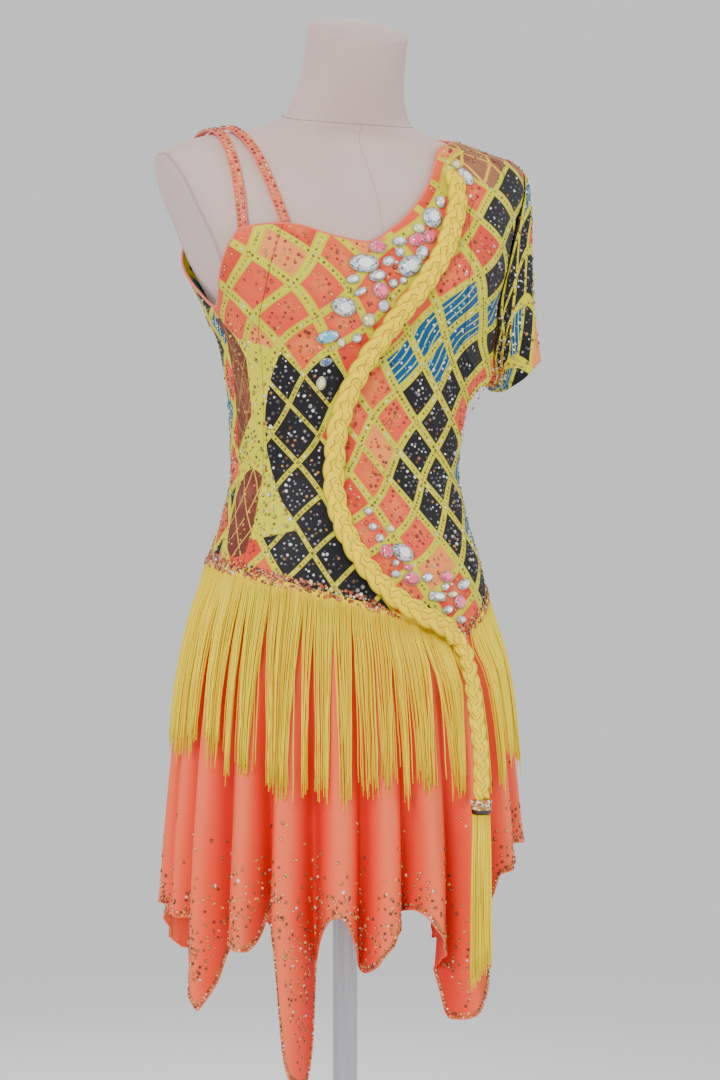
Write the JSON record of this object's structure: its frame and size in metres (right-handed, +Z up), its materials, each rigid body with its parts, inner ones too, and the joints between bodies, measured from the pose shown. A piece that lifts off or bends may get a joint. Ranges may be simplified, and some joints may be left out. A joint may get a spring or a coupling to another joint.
{
  "type": "salsa dance dress on a limbless dress form",
  "caption": "Asymmetric salsa dance dress with straps, cap sleeve, fringe, plaited braid and pointed flared skirt, worn by a limbless dress form on a round stand.",
  "frame": {"origin": "on the floor, at the middle of the underside of the stand's round base", "axes": "+Z up, -Y towards the front of the dress, +X towards the wearer's left"},
  "size_m": [0.4405, 0.38, 1.511],
  "materials": {
    "form_cloth": "matte pinkish-beige knitted cover",
    "stand_metal": "plain satin steel",
    "bodice_print": "stretch cloth in coral, peach and black shapes edged with lime bands and small stones",
    "side_sequin": "maroon stretch cloth with a sequin sheen",
    "inset_sequin": "white and lavender sequin cloth",
    "skirt_satin": "coral satin-like stretch cloth with stones along the hem",
    "fringe_yellow": "golden yellow chainette fringe",
    "braid_yellow": "bright yellow plaited cloth tubes",
    "strap_coral": "coral stretch cloth with two rows of stones",
    "stone_glass": "foiled cut glass stones"
  },
  "bodies": {
    "root": {"form_torso": "form_cloth", "form_pole": "stand_metal", "form_base": "stand_metal", "bodice_front": "bodice_print", "bodice_back": "bodice_print", "bodice_side_right": "side_sequin", "bodice_side_left": "inset_sequin", "sleeve_left": "bodice_print", "strap_outer": "strap_coral", "strap_inner": "strap_coral", "skirt_front": "skirt_satin", "skirt_left": "skirt_satin", "skirt_back": "skirt_satin", "skirt_right": "skirt_satin", "fringe_front": "fringe_yellow", "fringe_left": "fringe_yellow", "fringe_back": "fringe_yellow", "braid_sewn": "braid_yellow", "braid_drop": "braid_yellow", "tassel_cap": "stone_glass", "tassel_strands": "fringe_yellow", "stone_01": "stone_glass", "stone_02": "stone_glass", "stone_03": "stone_glass", "stone_04": "stone_glass", "stone_05": "stone_glass", "stone_06": "stone_glass", "stone_07": "stone_glass", "stone_08": "stone_glass", "stone_09": "stone_glass", "stone_10": "stone_glass", "stone_11": "stone_glass", "stone_12": "stone_glass", "stone_13": "stone_glass", "stone_14": "stone_glass", "stone_15": "stone_glass", "stone_16": "stone_glass", "stone_17": "stone_glass", "stone_18": "stone_glass", "stone_19": "stone_glass", "stone_20": "stone_glass"}
  },
  "joints": []
}
